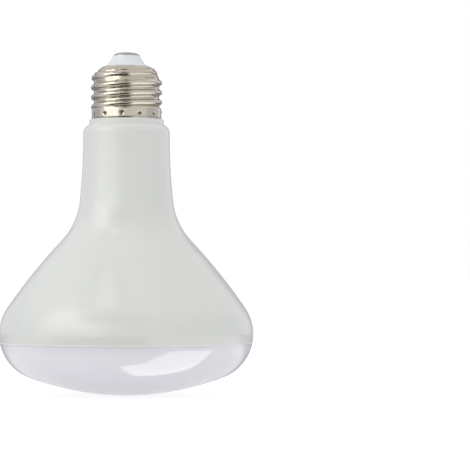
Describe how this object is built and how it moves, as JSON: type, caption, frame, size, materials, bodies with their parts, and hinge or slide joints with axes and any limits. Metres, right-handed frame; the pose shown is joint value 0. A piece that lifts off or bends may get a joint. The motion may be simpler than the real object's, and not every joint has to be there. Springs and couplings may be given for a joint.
{
  "type": "grow light bulb",
  "caption": "Reflector lamp with a white flared housing, a shallow frosted lens dome and a metal screw cap with an insulated centre contact.",
  "frame": {"origin": "middle of the small flat at the pole of the lens dome, on the lamp's axis, where the lamp stands on its dome", "axes": "+Z along the lamp's axis from the lens to the centre contact, +X to the right and +Y away from the viewer of the picture"},
  "size_m": [0.0944, 0.0944, 0.1275],
  "materials": {
    "contact_metal": "nickel plate",
    "insulator_white": "satin",
    "cap_metal": "nickel plate",
    "housing_white": "satin",
    "lens_white": "smooth diffusing"
  },
  "bodies": {
    "root": {"centre_contact": "contact_metal", "insulator": "insulator_white", "screw_shell": "cap_metal", "housing": "housing_white", "lens": "lens_white"}
  },
  "joints": []
}
